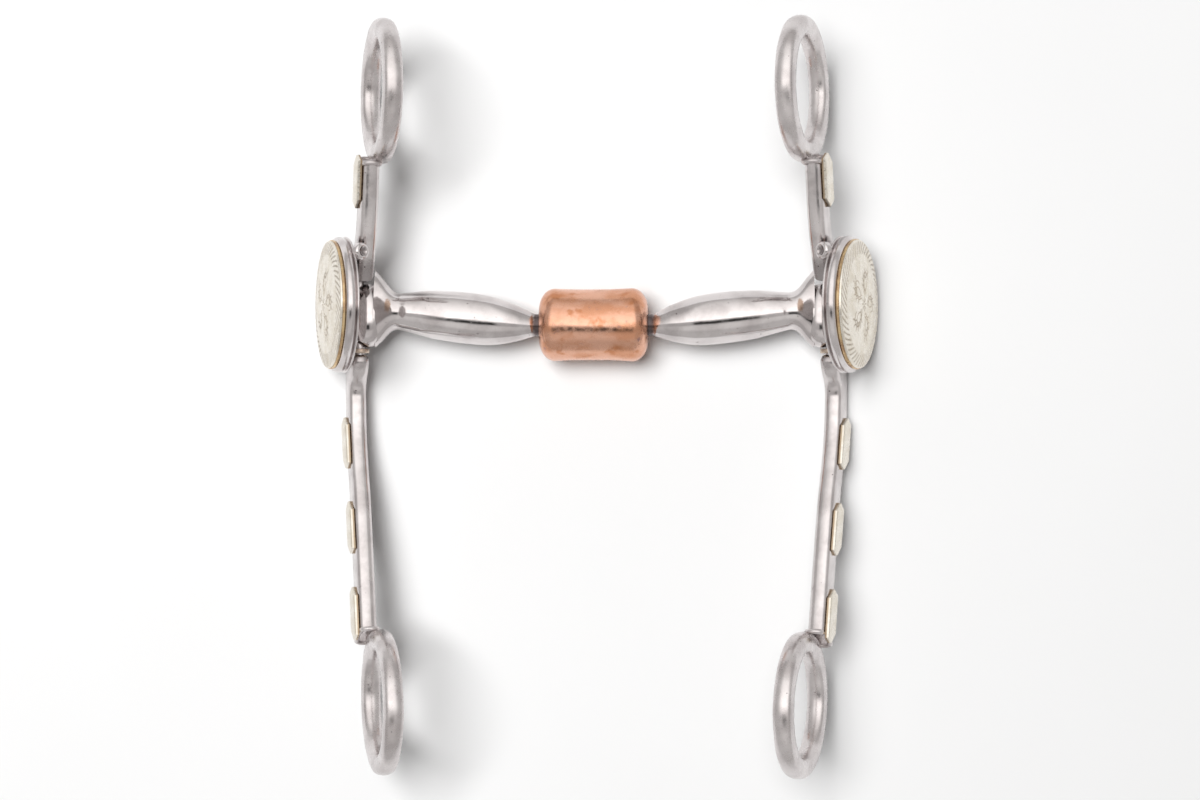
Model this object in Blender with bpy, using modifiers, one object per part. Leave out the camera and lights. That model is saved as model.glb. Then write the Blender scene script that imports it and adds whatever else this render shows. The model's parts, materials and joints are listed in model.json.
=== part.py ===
"""Western curb bit with swivelling cheeks and a roller over its broken mouthpiece.

The bit lies on a table as it does when it is put down: the mouthpiece runs along X, the
cheeks run along Y with the headstall rings at +Y, and +Z points up from the table. The
origin is the middle of the footprint on the table. Metres throughout.
"""

import math

import bmesh
import bpy

MM = 0.001
GAP = 0.3 * MM                      # clearance left between pieces that touch
MERGE = 0.01 * MM                   # merge distance for meshes and modifiers

# Driving dimensions of the whole bit.
PIN_SPAN = 66.2 * MM                # swivel pin axis, from the middle of the mouthpiece
PIN_HEIGHT = 10.73 * MM             # swivel pin and mouthpiece axis above the table
CHEEK_LEAN = math.radians(19.0)     # how far each cheek leans in when it rests on its stop
PURCHASE_REACH = 59.4 * MM          # mouthpiece axis to headstall ring centre, along Y
SHANK_REACH = 107.7 * MM            # mouthpiece axis to rein ring centre, along Y

# Rings.
RING_OUTER = 19.9 * MM
RING_INNER = 13.9 * MM
RING_THICK = 5.4 * MM
RING_CORNER = 1.4 * MM
HEADSTALL_RISE = 19.0 * MM          # ring centre above the pin axis, in the cheek's plane
REIN_RISE = 20.0 * MM
RING_STEPS = 40

# The origin sits halfway between the two outer ring ends.
MOUTH_Y = (SHANK_REACH - PURCHASE_REACH) / 2

# Cheek bar, cut from flat bar, with the swivel pin in the middle of its thickness.
# Outward distances are from the pin axis.
BAR_THICK = 5.0 * MM
BAR_EDGE = 1.5 * MM
BAR_FACE = BAR_THICK / 2
OVERLAY_THICK = 1.1 * MM
OVERLAY_LENGTH = 14.6 * MM
OVERLAY_WIDTH = 7.6 * MM
OVERLAY_POINT = 1.9 * MM            # length of the pointed part at each end
OVERLAY_EDGE = 0.3 * MM
SHANK_OVERLAYS_Y = (-37.4 * MM, -60.9 * MM, -84.4 * MM)
PURCHASE_OVERLAY_Y = 35.0 * MM

# Swivel hinge. Lengths along the pin are from the mouthpiece axis. The knuckle is fuller on
# the mouth's side, so its middle lies inboard of the pin.
KNUCKLE_RADIUS = 5.2 * MM
KNUCKLE_INSET = 2.4 * MM
KNUCKLE_TOP = 7.6 * MM
KNUCKLE_BOTTOM = -10.4 * MM
WASHER_THICK = 1.3 * MM
WASHER_RADIUS = 2.8 * MM
PIN_RADIUS = 1.4 * MM
PIN_TOP = 11.6 * MM
PIN_BOTTOM = -16.2 * MM
KNUCKLE_NOSE = 2.2 * MM             # radius of the knuckle's rounded ends
LUG_TOP = KNUCKLE_BOTTOM - WASHER_THICK - 2 * GAP
LUG_FRONT = 1.5 * MM
LUG_BULGE = 1.2 * MM                # how far the lug's front swells below its top edge
LUG_LENGTH = 5.0 * MM
WINDOW_TOP = KNUCKLE_TOP + GAP
WINDOW_FRONT = 8.9 * MM
WINDOW_BACK = -6.4 * MM
WINDOW_CORNER = 1.2 * MM

# Concho: a cup, a brass edge and an engraved face, stacked outward from the cheek bar.
CONCHO_RISE = 5.5 * MM
CONCHO_Y = 1.4 * MM
CONCHO_TILT = math.radians(2.5)     # how much further than its cheek a concho leans
CUP_BACK = BAR_FACE + 2.45 * MM
CUP_RADIUS = 19.0 * MM
CUP_DEPTH = 3.6 * MM
CUP_LIP = 0.9 * MM
CUP_SHOULDER = 0.4 * MM             # ledge of the cup outside the brass edge
EDGE_RADIUS = 17.95 * MM
EDGE_INNER = 16.0 * MM
EDGE_THICK = 0.5 * MM
EDGE_CORNER = 0.15 * MM
FACE_RADIUS = 17.7 * MM
FACE_RIM = 0.35 * MM
FACE_DOME = 1.2 * MM
CONCHO_STEPS = 36
STUD_RADIUS = 2.4 * MM
STUD_LENGTH = 2.0 * MM
STUD_LEAN = math.radians(35)        # the upper stud's axis, in from the cheek's plane
UPPER_STUD = (3.2 * MM, 15.6 * MM, 16.6 * MM)        # outward, along and up from the pin's middle
LOWER_STUD_RADIUS = 1.2 * MM
LOWER_STUD_Y = -14.6 * MM
LOWER_STUD_RISE = -2.0 * MM

# Mouthpiece.
ROLLER_RADIUS = 10.35 * MM
ROLLER_WAIST = 10.0 * MM
ROLLER_HALF = 15.35 * MM
ROLLER_SHOULDER = 3.6 * MM
ROLLER_BORE = 6.4 * MM
ROLLER_HOLE = 4.7 * MM
ROLLER_CHAMFER = 1.2 * MM           # slope between the end holes and the hollow inside
ROLLER_CAVITY = 0.4 * MM            # how far the hollow reaches into each shoulder
NECK_RADIUS = 3.1 * MM
ARM_DROP = 4.0 * MM                 # centre joint below the line between the hinges
EYE_RADIUS = 4.0 * MM
EYE_STEM = 8.0 * MM                 # how far the flat of the eye runs into the neck
TONGUE_THICK = 2.8 * MM
FORK_THICK = 7.8 * MM
FORK_SLOT = 3.6 * MM
RIVET_RADIUS = 1.6 * MM
RIVET_HEAD = 2.4 * MM
RIVET_DOME = 1.0 * MM
JOINT_Y = MOUTH_Y - ARM_DROP

SIDES = (("left", -1), ("right", 1))


def clear_scene():
    for old in list(bpy.data.objects):
        bpy.data.objects.remove(old, do_unlink=True)


def new_collection(name):
    collection = bpy.data.collections.new(name)
    bpy.context.scene.collection.children.link(collection)
    return collection


def principled(name, colour, roughness, metallic):
    material = bpy.data.materials.new(name)
    material.use_nodes = True
    shader = material.node_tree.nodes["Principled BSDF"]
    shader.inputs["Base Color"].default_value = (*colour, 1.0)
    shader.inputs["Roughness"].default_value = roughness
    shader.inputs["Metallic"].default_value = metallic
    return material


def place(obj, material, parent=None, location=(0, 0, 0), rotation=(0, 0, 0)):
    """Put an object in the bit's collection, at a place in its parent's frame."""
    BIT.objects.link(obj)
    obj.data.materials.append(material)
    obj.parent = parent
    obj.location = location
    obj.rotation_euler = rotation
    return obj


def smooth(obj, angle=35):
    obj.data.shade_smooth()
    obj.data.set_sharp_from_angle(angle=math.radians(angle))
    return obj


def arc(centre, radius, start, stop, steps):
    """Points on a round or oval arc, in degrees anticlockwise from the first axis."""
    across, along = (radius, radius) if isinstance(radius, float) else radius
    points = []
    for step in range(steps + 1):
        angle = math.radians(start + (stop - start) * step / steps)
        points.append((centre[0] + across * math.cos(angle), centre[1] + along * math.sin(angle)))
    return points


def turned(name, profile, closed, steps):
    """Turn a (radius, height) profile, which runs down its outer side, about local Z."""
    mesh = bpy.data.meshes.new(name)
    count = len(profile)
    edges = [(i, i + 1) for i in range(count - 1)]
    if closed:
        edges.append((count - 1, 0))
    mesh.from_pydata([(radius, 0, height) for radius, height in profile], edges, [])
    obj = bpy.data.objects.new(name, mesh)
    screw = obj.modifiers.new("turn", "SCREW")
    screw.steps = steps
    screw.render_steps = steps
    screw.use_merge_vertices = True
    screw.merge_threshold = MERGE
    screw.use_smooth_shade = True
    return obj


def solid_from(obj):
    """Replace a curve or a modified object with its evaluated mesh, with loose caps welded."""
    holder = bpy.context.scene.collection
    if obj.name not in holder.objects:
        holder.objects.link(obj)
    bpy.context.view_layer.update()
    evaluated = obj.evaluated_get(bpy.context.evaluated_depsgraph_get())
    mesh = bpy.data.meshes.new_from_object(evaluated)
    name = obj.name
    bpy.data.objects.remove(obj, do_unlink=True)
    work = bmesh.new()
    work.from_mesh(mesh)
    bmesh.ops.remove_doubles(work, verts=work.verts, dist=MERGE)
    bmesh.ops.recalc_face_normals(work, faces=work.faces)
    work.to_mesh(mesh)
    work.free()
    mesh.name = name
    return bpy.data.objects.new(name, mesh)


def plate(name, outline, thickness, resolution=3):
    """A flat plate from an outline of (x, y, corner) points; the others are smooth."""
    curve = bpy.data.curves.new(name, "CURVE")
    curve.dimensions = "2D"
    curve.fill_mode = "BOTH"
    curve.extrude = thickness / 2
    curve.resolution_u = resolution
    spline = curve.splines.new("BEZIER")
    spline.bezier_points.add(len(outline) - 1)
    for point, (x, y, corner) in zip(spline.bezier_points, outline):
        handle = "VECTOR" if corner else "AUTO"
        point.handle_left_type = handle
        point.handle_right_type = handle
        point.co = (x, y, 0)
    spline.use_cyclic_u = True
    return solid_from(bpy.data.objects.new(name, curve))


def round_edges(obj, width, segments=2):
    bevel = obj.modifiers.new("round edges", "BEVEL")
    bevel.width = width
    bevel.segments = segments
    bevel.limit_method = "ANGLE"
    bevel.angle_limit = math.radians(40)
    return obj


def boolean(obj, tool, operation):
    modifier = obj.modifiers.new(operation.lower(), "BOOLEAN")
    modifier.operation = operation
    modifier.solver = "MANIFOLD"    # the EXACT solver leaves these small round solids open
    modifier.object = tool


def as_tool(obj, parent=None, location=(0, 0, 0), rotation=(0, 0, 0)):
    """Keep an object as a cutter or a joining shape, which is not a piece of the bit."""
    CUTTERS.objects.link(obj)
    obj.parent = parent
    obj.location = location
    obj.rotation_euler = rotation
    obj.hide_render = True
    obj.display_type = "WIRE"
    return obj


def cylinder(name, radius, low, high, steps=24):
    """A cylinder along local Z between two heights."""
    work = bmesh.new()
    bmesh.ops.create_cone(work, cap_ends=True, segments=steps, radius1=radius, radius2=radius,
                          depth=high - low)
    bmesh.ops.translate(work, verts=work.verts, vec=(0, 0, (high + low) / 2))
    mesh = bpy.data.meshes.new(name)
    work.to_mesh(mesh)
    work.free()
    return bpy.data.objects.new(name, mesh)


def box(name, size):
    work = bmesh.new()
    bmesh.ops.create_cube(work, size=1.0)
    bmesh.ops.scale(work, verts=work.verts, vec=size)
    mesh = bpy.data.meshes.new(name)
    work.to_mesh(mesh)
    work.free()
    return bpy.data.objects.new(name, mesh)


# --- Cheeks. In a cheek's frame X points across, Y along the cheek and Z up in its plane. ---

FLAT = (0, math.radians(-90), 0)    # turns a plate's (x, y) outline into (rise, along)


def cheek_frame(side_name, side):
    """An empty on the swivel pin's axis, leaning with the cheek."""
    frame = bpy.data.objects.new(f"{side_name}_cheek_axis", None)
    BIT.objects.link(frame)
    frame.location = (side * PIN_SPAN, MOUTH_Y, PIN_HEIGHT)
    frame.rotation_euler = (0, -side * CHEEK_LEAN, 0)
    return frame


def ring_profile():
    half = RING_THICK / 2
    outer = RING_OUTER - RING_CORNER
    inner = RING_INNER + RING_CORNER
    flat = half - RING_CORNER
    steps = 2
    return (arc((outer, flat), RING_CORNER, 90, 0, steps)
            + arc((outer, -flat), RING_CORNER, 0, -90, steps)
            + arc((inner, -flat), RING_CORNER, -90, -180, steps)
            + arc((inner, flat), RING_CORNER, 180, 90, steps))


def cheek_ring(name, frame, side, rise, along):
    ring = turned(name, ring_profile(), True, RING_STEPS)
    place(ring, STEEL, frame, (0, along, rise), (0, side * math.pi / 2, 0))


# Edges of the cheek bar in mm, as (rise, along) points from the pin axis.
PURCHASE_FRONT = ((19.9, 44.0), (18.6, 35.8), (16.4, 24.8), (12.6, 15.0))
SHANK_FRONT = ((-1.9, -22.0), (-1.8, -28.0), (-1.1, -34.0), (1.6, -43.0), (5.4, -52.4),
               (9.4, -66.1), (13.9, -83.2), (17.0, -95.0))
SHANK_BACK = ((7.4, -95.0), (4.7, -83.2), (0.1, -66.1), (-3.8, -52.4), (-7.4, -43.0),
              (-9.9, -34.0), (-10.6, -27.0), (-10.7, -18.0), (-10.5, -4.0))
PURCHASE_BACK = ((-9.0, 6.5), (-4.2, 12.0), (2.2, 17.0), (6.3, 22.0), (9.4, 33.0), (11.4, 44.0))


def cheek_outline():
    """Down the upper edge, round the window for the knuckle, and up the lower edge."""
    def smooth_run(points):
        return [(rise * MM, along * MM, False) for rise, along in points]

    corner = WINDOW_CORNER
    window = [
        (WINDOW_FRONT, WINDOW_TOP, True),
        (WINDOW_BACK + corner, WINDOW_TOP, True),
        (WINDOW_BACK, WINDOW_TOP - corner, True),
        (WINDOW_BACK, LUG_TOP + corner, True),
        (WINDOW_BACK + corner, LUG_TOP, True),
        (LUG_FRONT, LUG_TOP, True),
        (LUG_FRONT + LUG_BULGE, LUG_TOP - LUG_BULGE, False),
        (LUG_FRONT, LUG_TOP - LUG_LENGTH, False),
    ]
    ends = {PURCHASE_FRONT[0][1] * MM, SHANK_BACK[0][1] * MM}
    outline = (smooth_run(PURCHASE_FRONT) + window + smooth_run(SHANK_FRONT)
               + smooth_run(SHANK_BACK) + smooth_run(PURCHASE_BACK))
    return [(rise, along, corner or along in ends) for rise, along, corner in outline]


def cheek_bar(side_name, frame, side):
    bar = plate(f"{side_name}_cheek_bar", cheek_outline(), BAR_THICK)
    place(bar, STEEL, frame, (0, 0, 0), FLAT)
    round_edges(bar, BAR_EDGE, 2)
    for tag, rise, along in (("headstall", HEADSTALL_RISE, PURCHASE_REACH),
                             ("rein", REIN_RISE, -SHANK_REACH)):
        seat = cylinder(f"{side_name}_{tag}_seat", RING_OUTER + GAP, -BAR_THICK, BAR_THICK, 96)
        as_tool(seat, frame, (0, along, rise), (0, math.pi / 2, 0))
        boolean(bar, seat, "DIFFERENCE")
    bore = cylinder(f"{side_name}_pin_bore", PIN_RADIUS + GAP, PIN_BOTTOM - GAP, PIN_TOP + GAP)
    as_tool(bore, frame, (0, 0, 0), (-math.pi / 2, 0, 0))
    boolean(bar, bore, "DIFFERENCE")
    smooth(bar)


def bar_centre(along):
    """Rise of the cheek bar's middle, and its slope, at a place along it."""
    front = PURCHASE_FRONT if along > 0 else SHANK_FRONT
    back = PURCHASE_BACK if along > 0 else SHANK_BACK

    def rise_of(edge, where):
        points = sorted((a * MM, r * MM) for r, a in edge)
        for (a0, r0), (a1, r1) in zip(points, points[1:]):
            if a0 <= where <= a1:
                return r0 + (r1 - r0) * (where - a0) / (a1 - a0)
        raise ValueError("the overlay lies past the end of the bar")

    step = 4 * MM
    middle = [(rise_of(front, where) + rise_of(back, where)) / 2
              for where in (along - step, along, along + step)]
    return middle[1], (middle[2] - middle[0]) / (2 * step)


def overlay(name, frame, side, along):
    """A thin silver plate with pointed ends, on the outer face of the cheek bar."""
    rise, slope = bar_centre(along)
    half = OVERLAY_LENGTH / 2
    wide = OVERLAY_WIDTH / 2
    shoulder = half - OVERLAY_POINT
    outline = [(0, half), (wide, shoulder), (wide, -shoulder),
               (0, -half), (-wide, -shoulder), (-wide, shoulder)]
    strip = plate(name, [(x + slope * y, y, True) for x, y in outline], OVERLAY_THICK, 1)
    across = side * (BAR_FACE + GAP + OVERLAY_THICK / 2)
    place(strip, SILVER, frame, (across, along, rise), FLAT)
    round_edges(strip, OVERLAY_EDGE, 2)
    smooth(strip)


def outward(side):
    """Rotation that points a turned piece's axis outward from the cheek."""
    return (0, side * math.pi / 2, 0)


def concho_frame(side_name, frame, side):
    """An empty in the middle of the cup's back, with its Z axis out from the cheek."""
    axis = bpy.data.objects.new(f"{side_name}_concho_axis", None)
    BIT.objects.link(axis)
    axis.parent = frame
    axis.location = (side * CUP_BACK, CONCHO_Y, CONCHO_RISE)
    axis.rotation_euler = (0, side * (math.pi / 2 - CONCHO_TILT), 0)
    return axis


def concho(side_name, frame, side):
    axis = concho_frame(side_name, frame, side)
    ledge = EDGE_RADIUS - CUP_SHOULDER
    cup_profile = [(0, CUP_DEPTH), (ledge, CUP_DEPTH)]
    cup_profile += arc((ledge, CUP_LIP), (CUP_LIP, CUP_DEPTH - CUP_LIP), 80, 10, 4)
    cup_profile += arc((CUP_RADIUS - CUP_LIP / 2, CUP_LIP / 2), CUP_LIP / 2, 70, -90, 4)
    cup_profile += [(0, 0)]
    cup = turned(f"{side_name}_concho_cup", cup_profile, False, CONCHO_STEPS)
    place(cup, STEEL, axis)
    seat = cylinder(f"{side_name}_stud_seat", STUD_RADIUS + GAP, -2 * STUD_LENGTH, 2 * STUD_LENGTH)
    as_tool(seat, frame, *stud_place(side))
    boolean(cup, seat, "DIFFERENCE")

    edge_profile = [(EDGE_INNER, EDGE_THICK), (EDGE_RADIUS - EDGE_CORNER, EDGE_THICK),
                    (EDGE_RADIUS, EDGE_THICK - EDGE_CORNER), (EDGE_RADIUS, 0), (EDGE_INNER, 0)]
    edge = turned(f"{side_name}_concho_edge", edge_profile, True, CONCHO_STEPS)
    edge_back = CUP_DEPTH + GAP
    place(edge, BRASS, axis, (0, 0, edge_back))

    steps = 6
    dome = [(FACE_RADIUS * step / steps, FACE_RIM + FACE_DOME * (1 - (step / steps) ** 2))
            for step in range(steps + 1)]
    face_profile = dome + [(FACE_RADIUS, 0), (0, 0)]
    face = turned(f"{side_name}_concho_face", face_profile, False, CONCHO_STEPS)
    place(face, SILVER, axis, (0, 0, edge_back + EDGE_THICK + GAP))


def stud_place(side):
    """Location and rotation of the upper stud, which leans in over the bar."""
    out, along, rise = UPPER_STUD
    return (side * out, along, rise), (0, -side * STUD_LEAN, 0)


def concho_studs(side_name, frame, side):
    """The welded studs that hold the concho to the cheek bar above and below the hinge."""
    upper = turned(f"{side_name}_upper_concho_stud", stud_profile(STUD_RADIUS, STUD_LENGTH),
                   False, 20)
    place(upper, STEEL, frame, *stud_place(side))
    length = CUP_BACK - BAR_FACE - 2 * GAP
    lower = turned(f"{side_name}_lower_concho_stud", stud_profile(LOWER_STUD_RADIUS, length),
                   False, 16)
    place(lower, STEEL, frame, (side * (BAR_FACE + GAP), LOWER_STUD_Y, LOWER_STUD_RISE),
          outward(side))


def stud_profile(radius, length):
    """A short stud with a rounded edge and a shallow dish in its free end."""
    edge = radius * 0.35
    return ([(0, length - edge * 0.5), (radius * 0.55, length - edge * 0.2)]
            + arc((radius - edge, length - edge), edge, 90, 0, 3)
            + [(radius, 0), (0, 0)])


def swivel_pin(side_name, frame):
    pin = turned(f"{side_name}_swivel_pin",
                 [(0, PIN_TOP), (PIN_RADIUS, PIN_TOP), (PIN_RADIUS, PIN_BOTTOM), (0, PIN_BOTTOM)],
                 False, 20)
    place(pin, STEEL, frame, (0, 0, 0), (-math.pi / 2, 0, 0))
    washer = turned(f"{side_name}_swivel_washer",
                    [(PIN_RADIUS + GAP, 0), (WASHER_RADIUS, 0),
                     (WASHER_RADIUS, -WASHER_THICK), (PIN_RADIUS + GAP, -WASHER_THICK)],
                    True, 24)
    place(washer, BRASS, frame, (0, KNUCKLE_BOTTOM - GAP, 0), (-math.pi / 2, 0, 0))


def build_cheek(side_name, side):
    frame = cheek_frame(side_name, side)
    cheek_bar(side_name, frame, side)
    cheek_ring(f"{side_name}_headstall_ring", frame, side, HEADSTALL_RISE, PURCHASE_REACH)
    cheek_ring(f"{side_name}_rein_ring", frame, side, REIN_RISE, -SHANK_REACH)
    overlay(f"{side_name}_purchase_overlay", frame, side, PURCHASE_OVERLAY_Y)
    for number, along in enumerate(SHANK_OVERLAYS_Y, start=1):
        overlay(f"{side_name}_shank_overlay_{number}", frame, side, along)
    concho(side_name, frame, side)
    concho_studs(side_name, frame, side)
    swivel_pin(side_name, frame)


# --- Mouthpiece. An arm's frame is on the centre joint, with X along the mouthpiece. ---

# Half height of an arm in mm, at distances from the centre joint: a slim end beside the
# roller, the bulge that lies on the bars of the mouth, the neck, and the flare at the cheek.
ARM_PROFILE = ((17.2, 3.4), (22.0, 5.25), (28.6, 6.9), (36.3, 7.3), (45.6, 6.8), (52.3, 5.7),
               (55.4, 5.3), (57.2, 6.2), (59.5, 8.8), (61.6, 11.0))
FLARE_START = 55.4 * MM
FLARE_DEPTH = (5.3 * MM, 3.9 * MM)  # half depth where the flare starts and at the knuckle
ARM_START = 17.2 * MM
NECK_PLACES = (EYE_RADIUS + 0.8 * MM, ARM_START - 1.6 * MM, ARM_START - 0.5 * MM)
ARM_SLOPE = 0.1017                  # the arm climbs toward the cheek by this much


def smooth_through(points, where):
    """Height of a smooth curve through (distance, height) points."""
    last = len(points) - 1

    def slope(i):
        (x0, y0), (x1, y1) = points[max(i - 1, 0)], points[min(i + 1, last)]
        return (y1 - y0) / (x1 - x0)

    i = sum(where > x for x, _ in points[1:-1])
    (x0, y0), (x1, y1) = points[i], points[i + 1]
    span = x1 - x0
    t = (where - x0) / span
    return (y0 * (1 + 2 * t) * (1 - t) ** 2 + y1 * t * t * (3 - 2 * t)
            + span * (slope(i) * t * (1 - t) ** 2 - slope(i + 1) * t * t * (1 - t)))


def arm_sections():
    """Sections of an arm as (distance, rise toward the cheek, half height, half depth)."""
    profile = [(x * MM, r * MM) for x, r in ARM_PROFILE]
    sections = [(where, 0, NECK_RADIUS, NECK_RADIUS) for where in NECK_PLACES]
    steps = 14
    end = profile[-1][0]
    for step in range(steps + 1):
        where = ARM_START + (end - ARM_START) * step / steps
        height = smooth_through(profile, where)
        share = max(where - FLARE_START, 0) / (end - FLARE_START)
        depth = min(height, FLARE_DEPTH[0] + (FLARE_DEPTH[1] - FLARE_DEPTH[0]) * share)
        if where < FLARE_START:
            depth = height
        sections.append((where, (where - ARM_START) * ARM_SLOPE, height, depth))
    return sections


def loft(name, sections, sides=20):
    """A solid lofted through oval sections that stand across local X."""
    work = bmesh.new()
    rings = []
    for x, centre, height, depth in sections:
        ring = []
        for i in range(sides):
            angle = 2 * math.pi * i / sides
            ring.append(work.verts.new((x, centre + height * math.cos(angle),
                                        depth * math.sin(angle))))
        rings.append(ring)
    for near, far in zip(rings, rings[1:]):
        for i in range(sides):
            j = (i + 1) % sides
            work.faces.new((near[i], near[j], far[j], far[i]))
    work.faces.new(rings[0])
    work.faces.new(rings[-1])
    bmesh.ops.recalc_face_normals(work, faces=work.faces)
    mesh = bpy.data.meshes.new(name)
    work.to_mesh(mesh)
    work.free()
    return bpy.data.objects.new(name, mesh)


def knuckle_profile():
    """Barrel of the swivel hinge, with rounded ends, about the swivel pin's axis."""
    base = KNUCKLE_RADIUS - KNUCKLE_NOSE
    profile = [(0, KNUCKLE_TOP)]
    profile += arc((base, KNUCKLE_TOP - KNUCKLE_NOSE), KNUCKLE_NOSE, 90, 0, 4)
    profile += arc((base, KNUCKLE_BOTTOM + KNUCKLE_NOSE), KNUCKLE_NOSE, 0, -90, 4)
    return profile + [(0, KNUCKLE_BOTTOM)]


def eye_outline():
    """The flat eye at an arm's inner end, round about the rivet."""
    flat = NECK_RADIUS * 0.9
    return arc((0, 0), EYE_RADIUS, 90, 270, 10) + [(EYE_STEM, -flat), (EYE_STEM, flat)]


def mouth_arm(side_name, side, thickness, forked):
    """One arm of the broken mouthpiece, with a fork or a tongue at the centre joint."""
    turn = (0, 0, 0 if side > 0 else math.pi)
    joint = (0, JOINT_Y, PIN_HEIGHT)
    name = f"{side_name}_mouth_arm"
    arm = loft(name, [(x, side * rise, height, depth)
                      for x, rise, height, depth in arm_sections()])
    place(arm, STEEL, None, joint, turn)

    knuckle = turned(f"{name}_knuckle", knuckle_profile(), False, 24)
    as_tool(knuckle, None, (side * (PIN_SPAN - KNUCKLE_INSET), MOUTH_Y, PIN_HEIGHT),
            (-math.pi / 2, 0, 0))
    eye = plate(f"{name}_eye", [(x, y, True) for x, y in eye_outline()], thickness, 1)
    as_tool(eye, None, joint, turn)
    past = 2 * MM
    pin_bore = cylinder(f"{name}_pin_bore", PIN_RADIUS + GAP, KNUCKLE_BOTTOM - past,
                        KNUCKLE_TOP + past)
    as_tool(pin_bore, None, (side * PIN_SPAN, MOUTH_Y, PIN_HEIGHT), (-math.pi / 2, 0, 0))
    rivet_bore = cylinder(f"{name}_rivet_bore", RIVET_RADIUS + GAP, -FORK_THICK, FORK_THICK)
    as_tool(rivet_bore, None, joint)

    boolean(arm, knuckle, "UNION")
    boolean(arm, eye, "UNION")
    boolean(arm, pin_bore, "DIFFERENCE")
    if forked:
        slot = box(f"{name}_slot", (4 * EYE_RADIUS, 4 * EYE_RADIUS, FORK_SLOT))
        reach = EYE_RADIUS + 0.5 * MM
        as_tool(slot, None, (side * (reach - 2 * EYE_RADIUS), JOINT_Y, PIN_HEIGHT))
        boolean(arm, slot, "DIFFERENCE")
    boolean(arm, rivet_bore, "DIFFERENCE")
    smooth(arm)


def joint_rivet():
    """The rivet through the fork and the tongue, with a domed head at each end."""
    under_head = FORK_THICK / 2 + GAP
    profile = arc((0, under_head), (RIVET_HEAD, RIVET_DOME), 90, 0, 4)
    profile += [(RIVET_RADIUS, under_head), (RIVET_RADIUS, -under_head)]
    profile += arc((0, -under_head), (RIVET_HEAD, RIVET_DOME), 0, -90, 4)
    rivet = turned("joint_rivet", profile, False, 20)
    place(rivet, STEEL, None, (0, JOINT_Y, PIN_HEIGHT))


def copper_roller():
    """A hollow roller over the centre joint, with rounded shoulders and a slight waist."""
    barrel = ROLLER_HALF - ROLLER_SHOULDER
    shoulder = (ROLLER_RADIUS - ROLLER_HOLE, ROLLER_SHOULDER)
    waist = [(ROLLER_WAIST + (ROLLER_RADIUS - ROLLER_WAIST) * k * k, barrel * k)
             for k in (0.7, 0.35, 0, -0.35, -0.7)]
    cavity = barrel + ROLLER_CAVITY
    slope = cavity - ROLLER_CHAMFER
    profile = arc((ROLLER_HOLE, barrel), shoulder, 90, 0, 6) + waist
    profile += arc((ROLLER_HOLE, -barrel), shoulder, 0, -90, 6)
    profile += [(ROLLER_HOLE, -cavity), (ROLLER_BORE, -slope), (ROLLER_BORE, slope),
                (ROLLER_HOLE, cavity)]
    roller = turned("copper_roller", profile, True, 28)
    place(roller, COPPER, None, (0, JOINT_Y, PIN_HEIGHT), (0, math.pi / 2, 0))


clear_scene()
BIT = new_collection("curb_bit")
CUTTERS = new_collection("cutters")
STEEL = principled("polished_steel", (0.62, 0.60, 0.60), 0.16, 1.0)
SILVER = principled("german_silver", (0.78, 0.74, 0.66), 0.32, 1.0)
BRASS = principled("brass", (0.72, 0.52, 0.26), 0.30, 1.0)
COPPER = principled("copper", (0.76, 0.38, 0.24), 0.24, 1.0)

for side_label, sign in SIDES:
    build_cheek(side_label, sign)
mouth_arm("left", -1, TONGUE_THICK, forked=False)
mouth_arm("right", 1, FORK_THICK, forked=True)
joint_rivet()
copper_roller()
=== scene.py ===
"""Looks of a western curb bit, built round its CAD frame: steel cheeks that swivel on a
broken mouthpiece, engraved conchos, silver overlays and a copper roller.

The frame's axes: X along the mouthpiece, Y along the cheeks with the headstall rings at +Y,
Z up from the table. Each cheek is built in its own frame, on its swivel's axis: X across,
Y along the cheek and Z up in its plane. Metres, with the shapes written in millimetres.
"""

import json
import math

import bmesh
import bpy
import numpy as np
from mathutils import Matrix, Vector, noise


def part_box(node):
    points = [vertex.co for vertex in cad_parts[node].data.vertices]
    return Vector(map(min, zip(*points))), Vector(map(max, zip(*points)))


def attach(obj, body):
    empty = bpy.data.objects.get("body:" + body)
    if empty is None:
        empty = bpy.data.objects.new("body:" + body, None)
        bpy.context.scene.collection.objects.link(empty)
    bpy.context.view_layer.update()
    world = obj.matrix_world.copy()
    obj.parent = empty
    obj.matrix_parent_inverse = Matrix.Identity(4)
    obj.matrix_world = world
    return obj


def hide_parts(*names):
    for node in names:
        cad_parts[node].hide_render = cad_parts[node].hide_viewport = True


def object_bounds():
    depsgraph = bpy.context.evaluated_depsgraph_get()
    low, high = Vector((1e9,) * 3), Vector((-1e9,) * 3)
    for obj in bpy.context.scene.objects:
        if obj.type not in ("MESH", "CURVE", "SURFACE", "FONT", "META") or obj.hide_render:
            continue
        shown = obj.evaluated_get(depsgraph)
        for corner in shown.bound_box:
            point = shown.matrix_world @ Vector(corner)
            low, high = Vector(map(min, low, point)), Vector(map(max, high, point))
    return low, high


MM = 0.001
MERGE = 0.001 * MM  # points nearer than this become one
GAP = 0.3 * MM  # clearance that the frame leaves between its pieces
SEAT = 0.26 * MM  # how far a soldered piece reaches down into that clearance
PIN_BORE = 1.7 * MM  # radius of the swivel pin's hole, in the cheek and the arm
RIVET_BORE = 1.9 * MM
SIDES = (("left", -1), ("right", 1))
SEED = 7

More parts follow.
